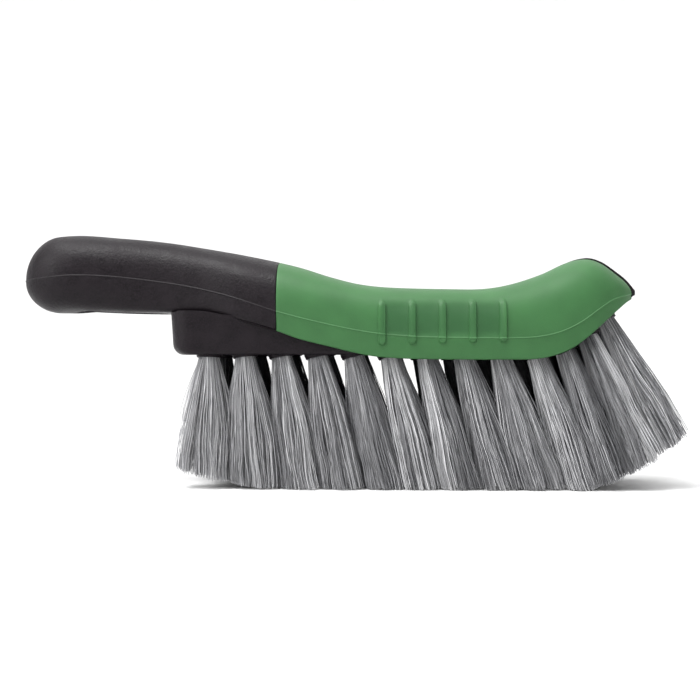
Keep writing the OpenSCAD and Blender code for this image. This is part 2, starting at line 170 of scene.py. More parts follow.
def along(points, x):
    """Smooth curve through driving points."""
    last = len(points) - 1
    i = max([0] + [k for k in range(last) if x >= points[k][0]])

    def tangent(k):
        a, b = points[max(k - 1, 0)], points[min(k + 1, last)]
        return (b[1] - a[1]) / (b[0] - a[0])

    width = points[i + 1][0] - points[i][0]
    t = (x - points[i][0]) / width
    rise = tangent(i) * width * t * (1 - t) ** 2 - tangent(i + 1) * width * t * t * (1 - t)
    return points[i][1] * (1 + 2 * t) * (1 - t) ** 2 + points[i + 1][1] * t * t * (3 - 2 * t) + rise


def nose_taper(u):
    """A quarter of a rounded nose in plan: 1 at u = 0, 0 at u = 1."""
    return (1 - min(0.9999, max(0.0, u)) ** NOSE_POWER) ** (1 / NOSE_POWER)


def taper_from(x, back):
    return nose_taper((x - NOSE_START_X) / (NOSE_TIP_X - back - NOSE_START_X))


def skin_half_w(x):
    return along(PLAN_LINE, x) if x < NOSE_START_X else HEAD_HALF_W * taper_from(x, 0)


def skin_side(x):
    return along(SIDE_LINE, x)


def skin_top(x):
    return along(TOP_LINE, x)


def skin_low(x):
    return along(LOW_LINE, x)


def spine_top(x):
    slope = (skin_top(x + 1) - skin_top(x - 1)) / 2
    return skin_top(x) - SLEEVE_WALL * math.hypot(1, slope) - GAP


def shoulder(x):
    """How far the core's shoulder reaches below the side line."""
    return min(SHOULDER_H, SHOULDER_SHARE * (skin_side(x) - skin_low(x)))


def block_low(x):
    if x < UNDER_FROM_X:
        return TRIM_LENGTH
    return max(TRIM_LENGTH, skin_low(x) - UNDER_PROUD)


def half_section(half_w, side, reach, power):
    """Outline (y, z) of the upper or lower half of a section, from +Y to -Y, and its arc length."""
    t = np.linspace(0, math.pi, SECTION_STEPS)
    y = half_w * np.sign(np.cos(t)) * np.abs(np.cos(t)) ** (2 / power)
    z = side + reach * np.clip(np.sin(t), 0, 1) ** (2 / power)
    outline = np.column_stack([y, z])
    return outline, arc_length(outline)


def arc_length(outline):
    steps = np.linalg.norm(np.diff(outline, axis=0), axis=1)
    return np.concatenate([[0.0], np.cumsum(steps)])


def resample(outline, run, at):
    return np.column_stack([np.interp(at, run, outline[:, k]) for k in range(outline.shape[1])])


def rows_between(length, near, far, count):
    """Arc lengths from 0 to length: near and far are fixed distances from the two ends."""
    room = near[-1] + far[-1]
    squeeze = min(1.0, length / (2.0 * room))
    start = np.array(near) * squeeze
    end = length - np.array(far)[::-1] * squeeze
    middle = np.linspace(start[-1], end[0], count + 2)[1:-1]
    return np.concatenate([start, middle, end])


def round_drop(distance, radius):
    """How far a rounded edge lies under its skin at a distance from the edge."""
    d = np.clip(radius - np.asarray(distance, float), 0.0, radius * 0.98)
    return radius - np.sqrt(radius * radius - d * d)


def ridge_lift(distance):
    return RIDGE_H * np.clip(1 - (np.asarray(distance, float) / RIDGE_W) ** 2, 0.0, 1.0)


class Shell:
    """Points in millimetres, faces, and for each point its lift along the normal and its mark.

    The mark is 1 on the crest of the parting line and -1 in the hollows between the ribs; the materials
    use it to paint a highlight on the crest and shade in the hollows.
    """

    def __init__(self):
        self.points, self.faces, self.lifts, self.marks = [], [], [], []

    def add_row(self, points, lifts=None, marks=None):
        first = len(self.points)
        self.points.extend([tuple(p) for p in points])
        count = len(points)
        self.lifts.extend([0.0] * count if lifts is None else list(lifts))
        self.marks.extend([0.0] * count if marks is None else list(marks))
        return list(range(first, first + count))

    def strip(self, a, b, closed=False):
        count = len(a)
        for i in range(count if closed else count - 1):
            j = (i + 1) % count
            self.faces.append((a[i], a[j], b[j], b[i]))

    def fan(self, centre, row):
        for i in range(len(row)):
            self.faces.append((centre, row[i], row[(i + 1) % len(row)]))

    def ladder(self, row):
        """Closes a flat loop whose first and second halves run side by side."""
        count = len(row)
        for i in range(count // 2 - 1):
            far = count - 1 - i
            self.faces.append((row[i], row[i + 1], row[far - 1], row[far]))

    def mirrored(self):
        """Adds the far half of a shell that was made for +Y only."""
        shift = len(self.points)
        self.points.extend([(x, -y, z) for x, y, z in self.points])
        self.lifts.extend(list(self.lifts))
        self.marks.extend(list(self.marks))
        self.faces.extend([tuple(k + shift for k in reversed(f)) for f in self.faces[:]])

    def build(self, name, sharp=38):
        mesh = bpy.data.meshes.new(name)
        mesh.from_pydata([Vector(p) * MM for p in self.points], [], self.faces)
        for label, values in (("lift", self.lifts), ("ridge", self.marks)):
            layer = mesh.attributes.new(label, "FLOAT", "POINT")
            layer.data.foreach_set("value", np.array(values, np.float32))
        work = bmesh.new()
        work.from_mesh(mesh)
        bmesh.ops.remove_doubles(work, verts=work.verts, dist=0.002 * MM)
        bmesh.ops.dissolve_degenerate(work, edges=work.edges, dist=0.001 * MM)
        bmesh.ops.recalc_face_normals(work, faces=work.faces)
        work.normal_update()
        lift = work.verts.layers.float["lift"]
        moves = [(v, v.normal * (v[lift] * MM)) for v in work.verts]
        for v, move in moves:
            v.co += move
        work.to_mesh(mesh)
        work.free()
        mesh.attributes.remove(mesh.attributes["lift"])
        piece = bpy.data.objects.new(name, mesh)
        bpy.context.scene.collection.objects.link(piece)
        shade(piece, sharp)
        return piece


def shade(piece, angle):
    mesh = piece.data
    mesh.polygons.foreach_set("use_smooth", [True] * len(mesh.polygons))
    mesh.set_sharp_from_angle(angle=math.radians(angle))
    mesh.update()


# Core: handle and the spine inside the sleeve

UPPER_COUNT = 56
LOWER_COUNT = 56
END_STEPS = 26
HANDLE_STEPS = 94
SPINE_STEPS = 24
# Where the pocket's wall rises inside its outline, and how far over the underside it takes hold
POCKET_EDGE = (-0.5, 0.9)
POCKET_REACH = (0.6, 2.0)
# Stations of the rounded edge at the seam, as shares of its radius
SEAM_SHARES = (2.0, 1.0, 0.6, 0.3, 0.1, 0.0)


def end_taper(x, length):
    """Roundness of the handle's end: 0 at the end, 1 once it is full."""
    u = (HANDLE_END_X + length - x) / length
    return 1.0 if u <= 0 else math.sqrt(max(0.0, 1 - u * u))


def full_ring(half_w, side, top, low, powers):
    """A whole section from the side line at +Y over the top, and each point's distance from it."""
    upper, run_u = half_section(half_w, side, top - side, powers[0])
    lower, run_l = half_section(half_w, side, low - side, powers[1])
    at_u = rows_between(run_u[-1], RIDGE_ROWS, RIDGE_ROWS, UPPER_COUNT)
    at_l = rows_between(run_l[-1], RIDGE_ROWS, RIDGE_ROWS, LOWER_COUNT)
    ring = np.vstack([resample(upper, run_u, at_u)[:-1], resample(lower, run_l, at_l)[::-1][:-1]])
    away_u = np.minimum(at_u, run_u[-1] - at_u)[:-1]
    away_l = np.minimum(at_l, run_l[-1] - at_l)[::-1][:-1]
    return ring, np.concatenate([away_u, away_l])


def pocket_rise(x, y, z, low):
    """The relief pocket in the handle's underside: how far it lifts a point of the skin."""
    r = POCKET_W / 2
    centre = min(POCKET_END_X - r, max(POCKET_START_X + r, x))
    inside = r - np.hypot(x - centre, y)
    under = smooth_step(-z, -(low + POCKET_REACH[1]), -(low + POCKET_REACH[0]))
    return POCKET_DEPTH * smooth_step(inside, *POCKET_EDGE) * under


def handle_ring(x, scale=1.0):
    e = end_taper(x, HANDLE_END_ROUND)
    side, half_w = skin_side(x), skin_half_w(x) * end_taper(x, HANDLE_PLAN_ROUND)
    top, low = mix(side, skin_top(x), e), mix(side, skin_low(x), e)
    powers = (along(UPPER_ROUND, x), along(LOWER_ROUND, x))
    ring, away = full_ring(half_w, side, top, low, powers)
    ring = np.array([0.0, side]) + (ring - np.array([0.0, side])) * scale
    z = ring[:, 1] + pocket_rise(x, ring[:, 0], ring[:, 1], low)
    return np.column_stack([np.full(len(ring), x), ring[:, 0], z]), ridge_lift(away)


def spine_ring(x):
    side = skin_side(x)
    half_w = (BLOCK_HALF_W + SIDE_STEP) * taper_from(x, SPINE_BACK)
    ring, _ = full_ring(half_w, side, spine_top(x), side - shoulder(x), SPINE_ROUND)
    return np.column_stack([np.full(len(ring), x), ring])


def handle_stations():
    end = [HANDLE_END_X + HANDLE_END_ROUND * (1 - math.cos(math.radians(90 * i / END_STEPS)))
           for i in range(1, END_STEPS + 1)]
    rest = np.linspace(end[-1], SEAM_X - 3 * SEAM_R, HANDLE_STEPS)[1:]
    return end + list(rest)


def core_body():
    shell = Shell()
    pole = shell.add_row([(HANDLE_END_X, 0.0, skin_side(HANDLE_END_X))])[0]
    rows = []
    for x in handle_stations():
        points, ridge = handle_ring(x)
        # The mark lets the material paint a highlight on the parting line's crest
        rows.append(shell.add_row(points, ridge, ridge / RIDGE_H))
    for share in SEAM_SHARES:
        drop = float(round_drop(share * SEAM_R, SEAM_R)) / HEAD_HALF_W
        points, ridge = handle_ring(SEAM_X - share * SEAM_R, 1 - drop)
        rows.append(shell.add_row(points, ridge, ridge / RIDGE_H))
    reach = NOSE_TIP_X - SPINE_BACK - NOSE_START_X
    spine = list(np.linspace(SEAM_X, NOSE_START_X, SPINE_STEPS))
    spine += [NOSE_START_X + reach * math.sin(math.radians(t)) for t in range(8, 84, 6)]
    for x in spine:
        rows.append(shell.add_row(spine_ring(x)))
    for a, b in zip(rows, rows[1:]):
        shell.strip(a, b, closed=True)
    shell.fan(pole, rows[0][::-1])
    end = shell.add_row([(spine[-1], 0.0, skin_side(spine[-1]))])[0]
    shell.fan(end, rows[-1])
    return shell.build("core_body")


# Core: block under the body, with its bosses and tuft holes

BLOCK_SIDE_EDGE_R = 1.2
BLOCK_SIDE_STEPS = 86
BLOCK_NOSE_STEPS = 30


def block_outline():
    """Half of the block's plan at +Y from the rear to the nose: x, y and outward normal."""
    r = BLOCK_CORNER_R
    points = [(BLOCK_END_X, y, -1.0, 0.0) for y in np.linspace(0.4, BLOCK_HALF_W - r, 8)[:-1]]
    for t in [math.radians(a) for a in np.linspace(0, 90, 13)]:
        x = BLOCK_END_X + r * (1 - math.cos(t))
        y = BLOCK_HALF_W - r * (1 - math.sin(t))
        points.append((x, y, -math.cos(t), math.sin(t)))
    for x in np.linspace(BLOCK_END_X + r, NOSE_START_X, BLOCK_SIDE_STEPS)[1:]:
        points.append((x, BLOCK_HALF_W, 0.0, 1.0))
    reach = NOSE_TIP_X - BLOCK_BACK - NOSE_START_X
    for t in np.linspace(0, 87, BLOCK_NOSE_STEPS)[1:]:
        x = NOSE_START_X + reach * math.sin(math.radians(t))
        nearby = (x - 0.05, x, x + 0.05)
        behind, here, ahead = [BLOCK_HALF_W * taper_from(at, BLOCK_BACK) for at in nearby]
        slope = Vector((behind - ahead, 0.1)).normalized()
        points.append((x, here, slope.x, slope.y))
    return points


def block_top(x):
    if x < SEAM_X:
        return skin_low(x) + float(np.interp(x, *zip(*BLOCK_SINK)))
    return skin_side(x) - shoulder(x) / 2


def block_levels(x):
    """Heights and insets of the block's wall at x, from its top to its rounded lower edge."""
    top, low = block_top(x), block_low(x)
    along_side = step_up(x, BLOCK_END_X + 2, BLOCK_END_X + BLOCK_CORNER_R + 4)
    radius = mix(BLOCK_EDGE_R, BLOCK_SIDE_EDGE_R, along_side)
    radius = min(radius, 0.3 * (top - low))
    levels = [(mix(top, low + radius, k / 5), 0.0) for k in range(5)]
    for t in np.linspace(0, 90, 8):
        turn = math.radians(t)
        levels.append((low + radius * (1 - math.sin(turn)), radius * (1 - math.cos(turn))))
    return levels


def block_shell():
    shell = Shell()
    outline = block_outline()
    levels = [block_levels(x) for x, _, _, _ in outline]
    rows = []
    lean_from, lean_to = -skin_low(BLOCK_END_X), -TRIM_LENGTH - BLOCK_EDGE_R
    for k in range(len(levels[0])):
        half = []
        for (x, y, nx, ny), wall in zip(outline, levels):
            z, inset = wall[k]
            lean = BLOCK_DRAFT * max(0.0, -nx) * step_up(-z, lean_from, lean_to)
            half.append((x - nx * inset + lean, max(0.05, y - ny * inset), z))
        rows.append(shell.add_row(half + [(x, -y, z) for x, y, z in reversed(half)]))
    for a, b in zip(rows, rows[1:]):
        shell.strip(a, b, closed=True)
    shell.ladder(rows[0])
    shell.ladder(rows[-1])
    return shell.build("core_block", sharp=30)


def middle_x(i):
    rear = min(i, MIDDLE_REAR_TUFTS - 1)
    return MIDDLE_FIRST_X + MIDDLE_PITCH * rear + MIDDLE_FRONT_PITCH * (i - rear)


def tuft_place(row, i):
    """Root and axis of tuft i; rows are -1 near, 0 middle, 1 far."""
    if row == 0:
        x, y, splay = middle_x(i), 0.0, 0.0
        lean = along(LEAN_LINE, (x - OUTER_FIRST_X) / OUTER_PITCH)
    else:
        straight = i < STRAIGHT_TUFTS
        k = i - STRAIGHT_TUFTS
        x = OUTER_FIRST_X + OUTER_PITCH * i if straight else NOSE_TUFT_X[k]
        y = row * (ROW_OFFSET if straight else NOSE_TUFT_Y[k])
        splay = row * (ROW_SPLAY if straight else NOSE_SPLAY[k])
        lean = along(LEAN_LINE, i)
    axis = Vector((math.tan(math.radians(lean)), math.tan(math.radians(splay)), -1)).normalized()
    return Vector((x, y, block_low(x))), axis


def tufts_in(row):
    return MIDDLE_TUFTS if row == 0 else OUTER_TUFTS


def boss_rise(row, i):
    return BOSS_H if row == 0 or i < STRAIGHT_TUFTS else NOSE_BOSS_H


def side_vectors(axis):
    a = Vector((0, 1, 0)).cross(-axis).normalized()
    return a, (-axis).cross(a)


def turned(profile, name, steps=48):
    """One solid of revolution per tuft hole; profile gives (radius, distance along the axis)."""
    shell = Shell()
    turns = [2 * math.pi * k / steps for k in range(steps)]
    for row, i in [(row, i) for row in (-1, 0, 1) for i in range(tufts_in(row))]:
        root, axis = tuft_place(row, i)
        a, b = side_vectors(axis)
        outline = profile(boss_rise(row, i))
        around = [a * math.cos(t) + b * math.sin(t) for t in turns]
        rows = [shell.add_row([root + axis * d + v * r for v in around]) for r, d in outline]
        for p, q in zip(rows, rows[1:]):
            shell.strip(p, q, closed=True)
        shell.fan(shell.add_row([root + axis * outline[0][1]])[0], rows[0][::-1])
        shell.fan(shell.add_row([root + axis * outline[-1][1]])[0], rows[-1])
    return shell.build(name)


BOSS_ROOT = -2.0
BORE_LIP = 0.35


def boss_profile(rise):
    lip = min(0.45, 0.8 * rise)
    arc = [(BOSS_R - lip + lip * math.cos(t), rise - lip + lip * math.sin(t))
           for t in np.linspace(0, math.pi / 2, 5)]
    if rise < BOSS_H:
        return [(BOSS_R, BOSS_ROOT)] + arc
    fillet = [(BOSS_R + 0.25, -0.1), (BOSS_R + 0.08, 0.12), (BOSS_R, 0.4)]
    return [(BOSS_R + 0.25, BOSS_ROOT)] + fillet + arc


def bore_profile(rise):
    return [(HOLE_R, -HOLE_DEPTH), (HOLE_R, rise - BORE_LIP), (HOLE_R + 0.12, rise - 0.1),
            (HOLE_R + BORE_LIP, rise + 0.02), (HOLE_R + BORE_LIP, rise + 1.0)]


def combine(piece, tool, operation):
    cut = piece.modifiers.new("combine", "BOOLEAN")
    cut.operation = operation
    cut.solver = "MANIFOLD"
    cut.object = tool
    bake_modifiers(piece)
    bpy.data.objects.remove(tool)


def bake_modifiers(piece):
    """Replaces the piece's mesh with the result of its modifiers."""
    bpy.context.view_layer.update()
    scene_now = bpy.context.evaluated_depsgraph_get()
    shaped = bpy.data.meshes.new_from_object(piece.evaluated_get(scene_now))
    piece.modifiers.clear()
    piece.data = shaped


def core_block():
    block = block_shell()
    combine(block, turned(boss_profile, "bosses"), "UNION")
    combine(block, turned(bore_profile, "bores"), "DIFFERENCE")
    shade(block, 30)
    return block


# Core: pad that shows through the window in the sleeve over the nose

PAD_UPPER_ROUND = 2.8
PAD_LOWER_ROUND = 6
PAD_THICKNESS = 7.0
PAD_SIDE_R = 0.45
PAD_END_R = 0.4
PAD_SIDE_ROWS = (0.0, 0.08, 0.2, 0.36, 0.6, 1.0)
PAD_REAR_SHARES = (0.0, 0.004, 0.01, 0.02, 0.035)
PAD_STEPS = 58


def round_edge(y, half_w, power):
    """Roundness of a section at a distance y from its middle: 1 there, 0 at its edge."""
    return max(0.0, 1 - min(1.0, abs(y) / half_w) ** power) ** (1 / power)


def pad_skin(x, y, upper):
    """Height of the pad's top or underside at a point of its plan."""
    at = min(x, NOSE_TIP_X)
    half_w = (HEAD_HALF_W + PAD_PROUD) * taper_from(x, -PAD_PROUD)
    side = skin_side(at)
    if upper:
        proud = mix(PAD_REAR_PROUD, PAD_TOP_PROUD, step_up(x, *PAD_RISE_X))
        return side + (skin_top(at) + proud - side) * round_edge(y, half_w, PAD_UPPER_ROUND)
    low = min(skin_low(at) + PAD_LOW_RISE, side - 0.1)
    return side + (low - side) * round_edge(y, half_w, PAD_LOWER_ROUND)


def pad_rear(y):
    w = PAD_HALF_W - GAP
    return PAD_REAR_X - PAD_REAR_STRETCH * w * math.sqrt(max(0.0, 1 - (y / w) ** 2))


def pad_front(y):
    """X where the pad's nose reaches a distance y from the middle."""
    share = (1 - (abs(y) / (HEAD_HALF_W + PAD_PROUD)) ** NOSE_POWER) ** (1 / NOSE_POWER)
    reach = NOSE_TIP_X + PAD_PROUD - NOSE_START_X
    return NOSE_START_X + reach * min(0.99985, share)


def nose_pad():
    shell = Shell()
    w = PAD_HALF_W - GAP
    edge = np.array(PAD_SIDE_ROWS)
    inner = np.linspace(-w + edge[-1], w - edge[-1], 15)[1:-1]
    across = np.concatenate([-w + edge, inner, (w - edge)[::-1]])
    share = np.concatenate([PAD_REAR_SHARES, np.sin(np.radians(np.linspace(4, 90, PAD_STEPS)))])
    tops, lows = [], []
    for y in across:
        rear, front = pad_rear(y), pad_front(y)
        xs = mix(rear, front, share)
        drop = round_drop(w - abs(y), PAD_SIDE_R) + round_drop(xs - rear, PAD_END_R)
        top = [(x, y, pad_skin(x, y, True) - d) for x, d in zip(xs, np.minimum(drop, 0.8))]
        low = [(x, y, max(pad_skin(x, y, False), pad_skin(x, y, True) - PAD_THICKNESS)) for x in xs]
        tops.append(shell.add_row(top))
        lows.append(shell.add_row(low))
    for (a, b), (c, d) in zip(zip(tops, tops[1:]), zip(lows, lows[1:])):
        shell.strip(a, b)
        shell.strip(d, c)
    shell.strip(lows[0], tops[0])
    shell.strip(tops[-1], lows[-1])
    shell.strip([r[0] for r in tops], [r[0] for r in lows])
    shell.strip([r[-1] for r in lows], [r[-1] for r in tops])
    return shell.build("core_nose_pad")


# Sleeve: outer and inner skins, each made for +Y and mirrored

ARCH_ROWS = 40
SIDE_ROWS = 13
LIP_ROWS = (0.0, 0.06, 0.16, 0.3, 0.5, 0.85)
RIB_BEVEL = 0.42
RIB_LOW_Z = 58.4
RIB_TOP_Z = 76.6
RIB_GABLE = 1.1
PANEL_DEPTH = 0.6
# Heights over which the hollows between the ribs fade in and out
PANEL_LOW_Z = (60.5, 64.5)
PANEL_TOP_Z = (73.0, 78.0)
# How much higher each next rib's lower and upper end lies
RIB_LOW_STEP = 0.3
RIB_TOP_STEP = 0.2
# The step in the inner skin under the core's shoulder, as shares of the shoulder's height
STEP_LOW = 1.2
STEP_HIGH = 1.05


def window_half_w(x):
    """Half width of the window over the nose: 0 behind it."""
    w = PAD_HALF_W + GAP
    u = (PAD_REAR_X - x) / (PAD_REAR_STRETCH * w)
    return 0.0 if u >= 1 else w * math.sqrt(1 - max(0.0, u) ** 2)


def rib_lift(x, z):
    """Raised finger ribs with bevelled sides, a pointed top end and a round lower end."""
    k = min(RIBS - 1, max(0, round((x - RIB_FIRST_X) / RIB_PITCH)))
    off = abs(x - RIB_FIRST_X - k * RIB_PITCH)
    half = RIB_W / 2
    low, top = RIB_LOW_Z + RIB_LOW_STEP * k, RIB_TOP_Z + RIB_TOP_STEP * k
    sides = half - off
    gable = (top - z - RIB_GABLE * off) / math.hypot(1, RIB_GABLE)
    foot = np.where(z < low + half, half - np.hypot(off, z - low - half), half)
    inside = np.minimum(np.minimum(sides, gable * 0.6), foot)
    t = np.clip(inside / RIB_BEVEL, 0.0, 1.0)
    return RIB_HEIGHT * np.sin(t * math.pi / 2) ** 0.9


def panel_lift(x, z):
    """Shallow scallops between the ribs."""
    u = (x - RIB_FIRST_X) / RIB_PITCH
    if u < 0 or u > RIBS - 1:
        return np.zeros_like(z)
    across = math.sin(math.pi * (u % 1.0)) ** 0.35
    return -PANEL_DEPTH * across * smooth_step(z, *PANEL_LOW_Z) * (1 - smooth_step(z, *PANEL_TOP_Z))


def sleeve_outer(x):
    """Half ring from the lower edge to the middle of the top or to the window, lifts and marks."""
    half_w, side, low, top = skin_half_w(x), skin_side(x), skin_low(x), skin_top(x)
    window = window_half_w(x)
    wall = np.array([[half_w - DRAFT, low], [half_w, side]])
    outline, run = half_section(half_w, side, top - side, along(UPPER_ROUND, x))
    quarter = outline[: len(outline) // 2]
    quarter = np.vstack([quarter, [0.0, top]])
    over = arc_length(quarter)
    reach = np.interp(-window, -quarter[:, 0], over)
    below = float(np.linalg.norm(wall[1] - wall[0]))
    at_wall = rows_between(below, LIP_ROWS, RIDGE_ROWS, SIDE_ROWS)
    at_arch = rows_between(reach, RIDGE_ROWS, LIP_ROWS, ARCH_ROWS)[1:]
    ends = np.array([0.0, below])
    points = np.vstack([resample(wall, ends, at_wall), resample(quarter, over, at_arch)])
    points[:, 0] = np.maximum(points[:, 0], window)
    away = np.concatenate([below - at_wall, at_arch])
    from_lip = np.concatenate([at_wall, np.full(len(at_arch), LIP_R)])
    from_window = np.concatenate([np.full(len(at_wall), LIP_R), reach - at_arch])
    ridge = ridge_lift(away)
    panel = panel_lift(x, points[:, 1])
    lift = ridge + rib_lift(x, points[:, 1]) + panel
    lift -= round_drop(from_lip, LIP_R) + round_drop(from_window, LIP_R) * min(1.0, window)
    lift -= round_drop(x - SEAM_X - GAP, SEAM_R)
    # The mark tells the materials where to paint a highlight (parting-line crest) and painted shade
    # (hollows between the ribs)
    marks = ridge / RIDGE_H + panel / PANEL_DEPTH
    return np.column_stack([np.full(len(points), x), points]), lift, marks


def sleeve_inner(x):
    """The inner skin's half ring that belongs to the outer one at x."""
    start = SEAM_X + GAP
    xi = start + (x - start) * (NOSE_TIP_X - SPINE_BACK + GAP - SEAM_X) / (NOSE_TIP_X - SEAM_X)
    side, low, top, h = skin_side(xi), skin_low(xi), spine_top(xi) + GAP, shoulder(xi)
    block = (BLOCK_HALF_W + GAP) * taper_from(xi, BLOCK_BACK - GAP)
    spine = (BLOCK_HALF_W + SIDE_STEP + GAP) * taper_from(xi, SPINE_BACK - GAP)
    half_w = max(block + 0.02, spine)
    window = window_half_w(x)
    step = [[block, side - STEP_LOW * h - GAP], [half_w, side - STEP_HIGH * h - GAP]]
    wall = np.array([[block, low], *step, [half_w, side]])
    outline, _ = half_section(half_w, side, top - side, SPINE_ROUND[0])
    quarter = np.vstack([outline[: len(outline) // 2], [0.0, top]])
    over = arc_length(quarter)
    reach = np.interp(-window, -quarter[:, 0], over)
    run = arc_length(wall)
    at_wall = np.linspace(0, run[-1], len(LIP_ROWS) + SIDE_ROWS + len(RIDGE_ROWS))
    at_arch = np.linspace(0, reach, len(RIDGE_ROWS) + ARCH_ROWS + len(LIP_ROWS))[1:]
    points = np.vstack([resample(wall, run, at_wall), resample(quarter, over, at_arch)])
    points[:, 0] = np.maximum(points[:, 0], window)
    return np.column_stack([np.full(len(points), xi), points])


def rib_stations():
    half = RIB_W / 2
    offsets = [0.0, 0.12, 0.25, 0.4, 0.6, 0.9, 1.3]
    inside = [-half + d for d in offsets] + [half - d for d in reversed(offsets)]
    stations = []
    for k in range(RIBS):
        x = RIB_FIRST_X + k * RIB_PITCH
        stations += [x - half - 0.15] + [x + d for d in inside] + [x + half + 0.15]
        if k < RIBS - 1:
            stations += list(np.linspace(x + half + 0.5, x + RIB_PITCH - half - 0.5, 9))
    return stations


def sleeve_stations():
    start = SEAM_X + GAP
    seam = [start + d for d in (0.0, 0.05, 0.12, 0.22, 0.4, 0.8)]
    rear = list(np.linspace(seam[-1], RIB_FIRST_X - RIB_W / 2 - 0.6, 34)[1:])
    ribs = rib_stations()
    w = PAD_HALF_W + GAP
    window_start = PAD_REAR_X - PAD_REAR_STRETCH * w
    front = list(np.linspace(ribs[-1] + 0.5, window_start, 17))
    opening = [window_start + (PAD_REAR_X - window_start) * (1 - math.cos(math.radians(t)))
               for t in np.linspace(0, 90, 16)[1:]]
    end_share = (1 - (w / HEAD_HALF_W) ** NOSE_POWER) ** (1 / NOSE_POWER)
    end = NOSE_START_X + (NOSE_TIP_X - NOSE_START_X) * end_share
    turns = np.linspace(0, 90, 30)[1:]
    nose = [PAD_REAR_X + (end - PAD_REAR_X) * math.sin(math.radians(t)) for t in turns]
    return seam + rear + ribs + front + opening + nose


def grip_sleeve():
    shell = Shell()
    outer, inner, windows = [], [], []
    for x in sleeve_stations():
        points, lift, ridge = sleeve_outer(x)
        outer.append(shell.add_row(points, lift, ridge))
        inner.append(shell.add_row(sleeve_inner(x)))
        windows.append(window_half_w(x))
    for k in range(len(outer) - 1):
        shell.strip(outer[k], outer[k + 1])
        shell.strip(inner[k + 1], inner[k])
        shell.faces.append((outer[k][0], outer[k + 1][0], inner[k + 1][0], inner[k][0]))
        if windows[k + 1] > 0:
            shell.faces.append((inner[k][-1], inner[k + 1][-1], outer[k + 1][-1], outer[k][-1]))
    shell.strip(inner[0], outer[0])
    shell.strip(outer[-1], inner[-1])
    shell.mirrored()
    return shell.build("sleeve_moulding")


# Tufts: every filament is its own thin tube

FILAMENT_R = 0.115
FILAMENT_SIDES = 3
OUTER_FILAMENTS = 620
MIDDLE_FILAMENTS = 440
GOLDEN_ANGLE = math.pi * (3 - math.sqrt(5))
PATH_STEPS = 14
CLUMPS = 13
FLARE = 1.25
REAR_FLARE = 1.15
START_DEPTH = 6.8
# Painted light and shade: how much lighter or darker each outer-row tuft is painted, for how light falls
# on it
OUTER_PAINTED_LIGHT = (0.08, 0.05, 0.0, -0.02, -0.06, 0.0, -0.05, 0.0, 0.0, 0.06, -0.12, -0.03, 0.14)
STRAY_SHARE = 0.12
STRAY_SIZE = 0.25
SHORT_SHARE = 0.12
SHORT_BY = 3.2
TIP_REACH = 1.12
SPREAD_POWER = 1.7
TIP_TAPER = 0.8
CLUMP_TONE = 0.1
FILAMENT_TONE = 0.17


def trim_z(x):
    """Height of the trimmed tips over the floor: flat under the head, rising at both ends."""
    x = np.asarray(x, float)
    behind = np.clip(FLAT_FROM_X - x, 0, None)
    ahead = np.clip(x - FLAT_TO_X, 0, None)
    return REAR_CURVE * behind ** 2 + FRONT_SLOPE * ahead + FRONT_CURVE * ahead ** 2


def tip_middle(row, i):
    root, axis = tuft_place(row, i)
    tip = root
    for _ in range(3):
        height = float(trim_z(tip.x)) if tip is not root else 0.0
        tip = root + axis * ((root.z - height) / -axis.z)
    return tip


def tip_half_x(row, i):
    last = tufts_in(row) - 1
    outer = NOSE_TIP_HALF_X if i == last else OUTER_TIP_HALF_X
    widest = MIDDLE_TIP_HALF_X if row == 0 else outer
    near = [k for k in (i - 1, i + 1) if 0 <= k <= last]
    room = [(tip_middle(row, i) - tip_middle(row, k)).length / 2 - TUFT_GAP for k in near]
    return min([widest] + room)


def tip_half_y(row, i):
    if row != 0:
        return OUTER_TIP_HALF_Y
    return MIDDLE_TIP_HALF_Y - MIDDLE_TIP_TAPER * step_up(i, MIDDLE_TUFTS - 3, MIDDLE_TUFTS)


def disc_points(count):
    k = np.arange(count) + 0.5
    radius, turn = np.sqrt(k / count), k * GOLDEN_ANGLE
    return np.column_stack([radius * np.cos(turn), radius * np.sin(turn)])


def tip_offsets(rng, disc, clump, centres):
    """Where each filament ends, on a unit disc: gathered in clumps, with a few strays."""
    count = len(disc)
    gather = rng.uniform(0.1, 0.48, len(centres))[clump][:, None]
    ends = mix(disc, centres[clump], gather) + rng.normal(0, 0.09, (count, 2))
    stray = rng.random(count) < STRAY_SHARE
    ends[stray] += rng.normal(0, STRAY_SIZE, (int(stray.sum()), 2))
    reach = np.linalg.norm(ends, axis=1)
    return ends * (np.minimum(reach, TIP_REACH) / reach)[:, None]


def flared(row, i, ends):
    """Sideways reach of the tips: neighbours mingle, the ends of a row keep to their outline."""
    wide = np.full(len(ends), FLARE)
    if i == 0:
        wide[ends < 0] = REAR_FLARE
    if i == tufts_in(row) - 1:
        wide[ends > 0] = 1.0
    return ends * wide * tip_half_x(row, i)


def ragged(rng, ends):
    """How far each tip stands above the trimming plane: more at a tuft's edges, a few are short."""
    count = len(ends)
    rise = np.abs(rng.normal(0, 0.4, count)) + 1.5 * np.clip(np.abs(ends[:, 0]) - 0.4, 0, None) ** 2
    return rise + (rng.random(count) < SHORT_SHARE) * rng.random(count) * SHORT_BY


def wave(u, size, turns, phase):
    return size * (np.sin(2 * math.pi * turns * u + phase) - np.sin(phase)) * min(1.0, 1.6 * u)


